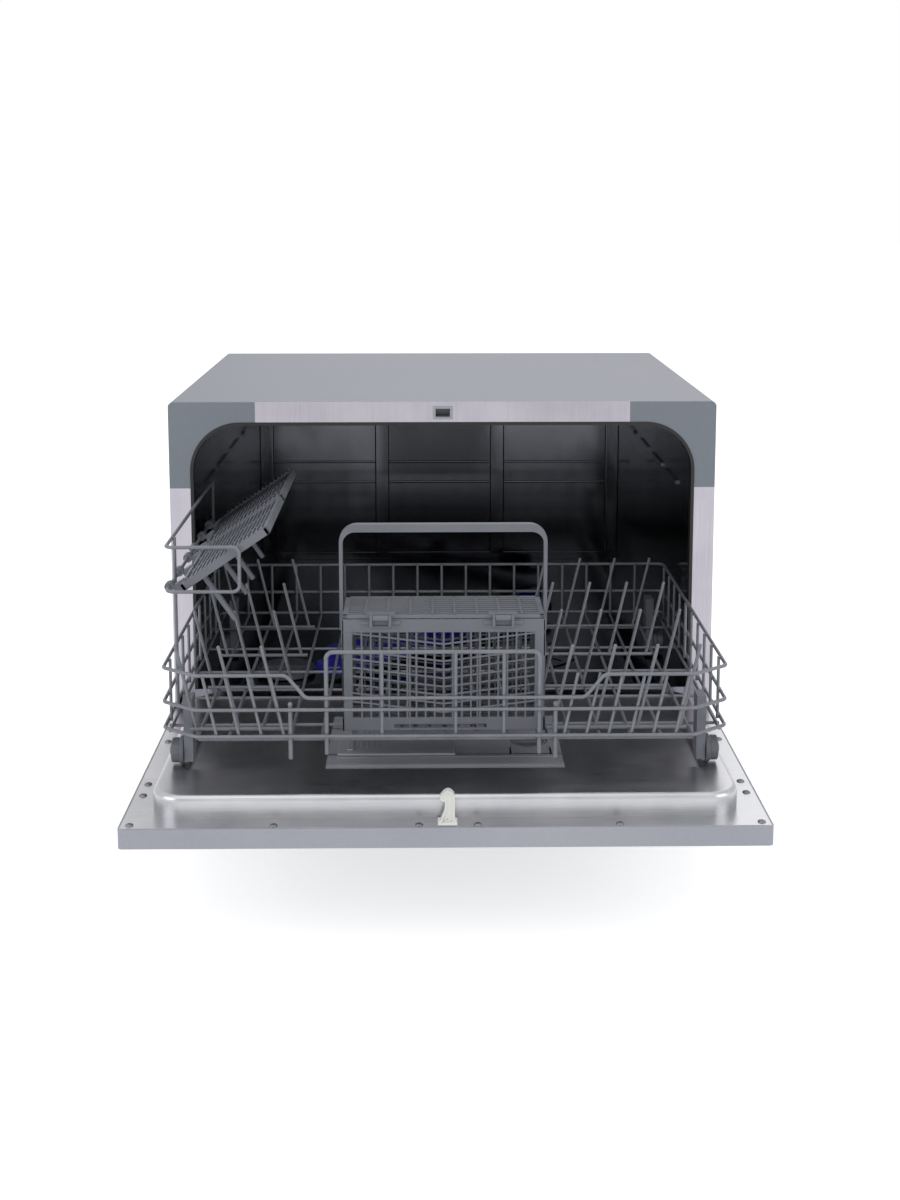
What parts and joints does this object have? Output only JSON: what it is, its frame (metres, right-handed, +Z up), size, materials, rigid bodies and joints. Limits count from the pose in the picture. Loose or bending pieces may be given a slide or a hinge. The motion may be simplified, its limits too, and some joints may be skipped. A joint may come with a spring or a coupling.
{
  "type": "countertop dishwasher",
  "caption": "Free-standing countertop dishwasher with its drop-down door open, a roll-out wire rack with folding cup shelf and cutlery basket, a rotating spray arm and a steel tub.",
  "frame": {"origin": "on the worktop, under the centre of the footprint that the cabinet and its open door take up", "axes": "+X to the machine's right as seen from its front, +Y from the open door into the cabinet, +Z up"},
  "size_m": [0.55, 0.769, 0.438],
  "materials": {
    "painted_sheet": "satin silver powder coat",
    "zinc_sheet": "zinc coated sheet",
    "dark_plastic": "moulded dark grey polypropylene",
    "rubber_black": "matt black rubber",
    "bright_steel": "bright stainless sheet",
    "tub_steel": "stainless tub sheet",
    "panel_steel": "polished stainless door panel",
    "grey_plastic": "moulded grey polypropylene",
    "navy_plastic": "moulded navy blue plastic",
    "motor_steel": "pump and heater casing",
    "white_plastic": "moulded white plastic",
    "silver_plastic": "silver grey moulded plastic",
    "board_green": "circuit board laminate",
    "black_gloss": "gloss black control strip",
    "button_silver": "silver push buttons",
    "coated_wire": "steel wire with grey nylon coating",
    "wheel_plastic": "grey acetal wheels",
    "basket_plastic": "moulded slate grey plastic"
  },
  "bodies": {
    "cabinet": {"outer_wrap": "painted_sheet", "rear_cover": "zinc_sheet", "base_tray": "dark_plastic", "feet": "rubber_black", "kick_plate": "painted_sheet", "front_frame": "bright_steel", "gasket": "rubber_black", "tub_wrap": "tub_steel", "tub_back": "tub_steel", "tub_floor": "tub_steel", "sump": "dark_plastic", "filter_plate": "tub_steel", "spray_hub": "dark_plastic", "spray_nut": "navy_plastic", "wash_pump": "motor_steel", "drain_pump": "dark_plastic", "heater": "motor_steel", "softener": "white_plastic", "air_breather": "white_plastic", "inlet_valve": "white_plastic", "drain_port": "dark_plastic", "cord_gland": "rubber_black", "latch": "dark_plastic", "hinge_arms": "zinc_sheet", "hinge_brackets": "zinc_sheet", "door_springs": "zinc_sheet", "door_outer": "painted_sheet", "door_inner": "panel_steel", "door_screws": "bright_steel", "dispenser": "silver_plastic", "striker": "white_plastic", "control_board": "board_green", "fascia": "black_gloss", "display": "black_gloss"},
    "rack": {"rack_floor": "coated_wire", "rack_front": "coated_wire", "rack_sides": "coated_wire", "rack_back": "coated_wire", "rack_tines": "coated_wire", "wheel_brackets": "grey_plastic", "shelf_frame": "coated_wire"},
    "wheel_fl": {"wheel_fl": "wheel_plastic"},
    "wheel_fr": {"wheel_fr": "wheel_plastic"},
    "wheel_rl": {"wheel_rl": "wheel_plastic"},
    "wheel_rr": {"wheel_rr": "wheel_plastic"},
    "shelf_front": {"shelf_front": "basket_plastic"},
    "shelf_rear": {"shelf_rear": "basket_plastic"},
    "basket": {"basket": "basket_plastic", "basket_handle": "basket_plastic"},
    "basket_lid": {"basket_lid": "basket_plastic"},
    "spray_arm": {"spray_arm": "navy_plastic"},
    "filter": {"coarse_filter": "grey_plastic", "micro_filter": "tub_steel"},
    "salt_cap": {"salt_cap": "grey_plastic"},
    "dispenser_lid": {"dispenser_lid": "silver_plastic"},
    "rinse_cap": {"rinse_cap": "grey_plastic"},
    "button_1": {"button_1": "button_silver"},
    "button_2": {"button_2": "button_silver"},
    "button_3": {"button_3": "button_silver"},
    "button_4": {"button_4": "button_silver"}
  },
  "joints": [
    {"name": "rack_slide", "type": "slide", "parent": "cabinet", "child": "rack", "axis": [0, 1, 0], "range_m": [0, 0.27]},
    {"name": "wheel_fl_roll", "type": "hinge", "parent": "rack", "child": "wheel_fl", "pos_m": [-0.236, -0.2875, 0.1541], "axis": [-1, 0, 0], "continuous": true},
    {"name": "wheel_fr_roll", "type": "hinge", "parent": "rack", "child": "wheel_fr", "pos_m": [0.236, -0.2875, 0.1541], "axis": [-1, 0, 0], "continuous": true},
    {"name": "wheel_rl_roll", "type": "hinge", "parent": "rack", "child": "wheel_rl", "pos_m": [-0.236, 0.0375, 0.1541], "axis": [-1, 0, 0], "continuous": true},
    {"name": "wheel_rr_roll", "type": "hinge", "parent": "rack", "child": "wheel_rr", "pos_m": [0.236, 0.0375, 0.1541], "axis": [-1, 0, 0], "continuous": true},
    {"name": "shelf_front_fold", "type": "hinge", "parent": "rack", "child": "shelf_front", "pos_m": [-0.246, -0.2105, 0.298], "axis": [0, -1, 0], "range_deg": [0, 40]},
    {"name": "shelf_rear_fold", "type": "hinge", "parent": "rack", "child": "shelf_rear", "pos_m": [-0.246, -0.0645, 0.298], "axis": [0, -1, 0], "range_deg": [0, 40]},
    {"name": "basket_lift", "type": "slide", "parent": "rack", "child": "basket", "axis": [0, 0, 1], "range_m": [0, 0.05]},
    {"name": "basket_lid_hinge", "type": "hinge", "parent": "basket", "child": "basket_lid", "pos_m": [-0.0015, -0.3085, 0.27975], "axis": [1, 0, 0], "range_deg": [0, 110]},
    {"name": "spray_arm_spin", "type": "hinge", "parent": "cabinet", "child": "spray_arm", "pos_m": [0, 0.1355, 0.136], "axis": [0, 0, 1], "continuous": true},
    {"name": "filter_twist", "type": "hinge", "parent": "cabinet", "child": "filter", "pos_m": [0.092, 0.1095, 0.12], "axis": [0, 0, 1], "range_deg": [0, 90]},
    {"name": "salt_cap_twist", "type": "hinge", "parent": "cabinet", "child": "salt_cap", "pos_m": [-0.172, 0.0395, 0.124], "axis": [0, 0, 1], "range_deg": [0, 180]},
    {"name": "dispenser_lid_slide", "type": "slide", "parent": "cabinet", "child": "dispenser_lid", "axis": [1, 0, 0], "range_m": [0, 0.088]},
    {"name": "rinse_cap_twist", "type": "hinge", "parent": "cabinet", "child": "rinse_cap", "pos_m": [0.078, -0.2355, 0.138], "axis": [0, 0, 1], "range_deg": [0, 90]},
    {"name": "button_1_press", "type": "slide", "parent": "cabinet", "child": "button_1", "axis": [0, 0, 1], "range_m": [0, 0.001], "stiffness_N_per_m": 300, "springref_m": -0.001},
    {"name": "button_2_press", "type": "slide", "parent": "cabinet", "child": "button_2", "axis": [0, 0, 1], "range_m": [0, 0.001], "stiffness_N_per_m": 300, "springref_m": -0.001},
    {"name": "button_3_press", "type": "slide", "parent": "cabinet", "child": "button_3", "axis": [0, 0, 1], "range_m": [0, 0.001], "stiffness_N_per_m": 300, "springref_m": -0.001},
    {"name": "button_4_press", "type": "slide", "parent": "cabinet", "child": "button_4", "axis": [0, 0, 1], "range_m": [0, 0.001], "stiffness_N_per_m": 300, "springref_m": -0.001}
  ],
  "couplings": [
    {"joint": "wheel_fl_roll", "follows": "rack_slide", "rad_per_m": 80},
    {"joint": "wheel_fr_roll", "follows": "rack_slide", "rad_per_m": 80},
    {"joint": "wheel_rl_roll", "follows": "rack_slide", "rad_per_m": 80},
    {"joint": "wheel_rr_roll", "follows": "rack_slide", "rad_per_m": 80}
  ]
}
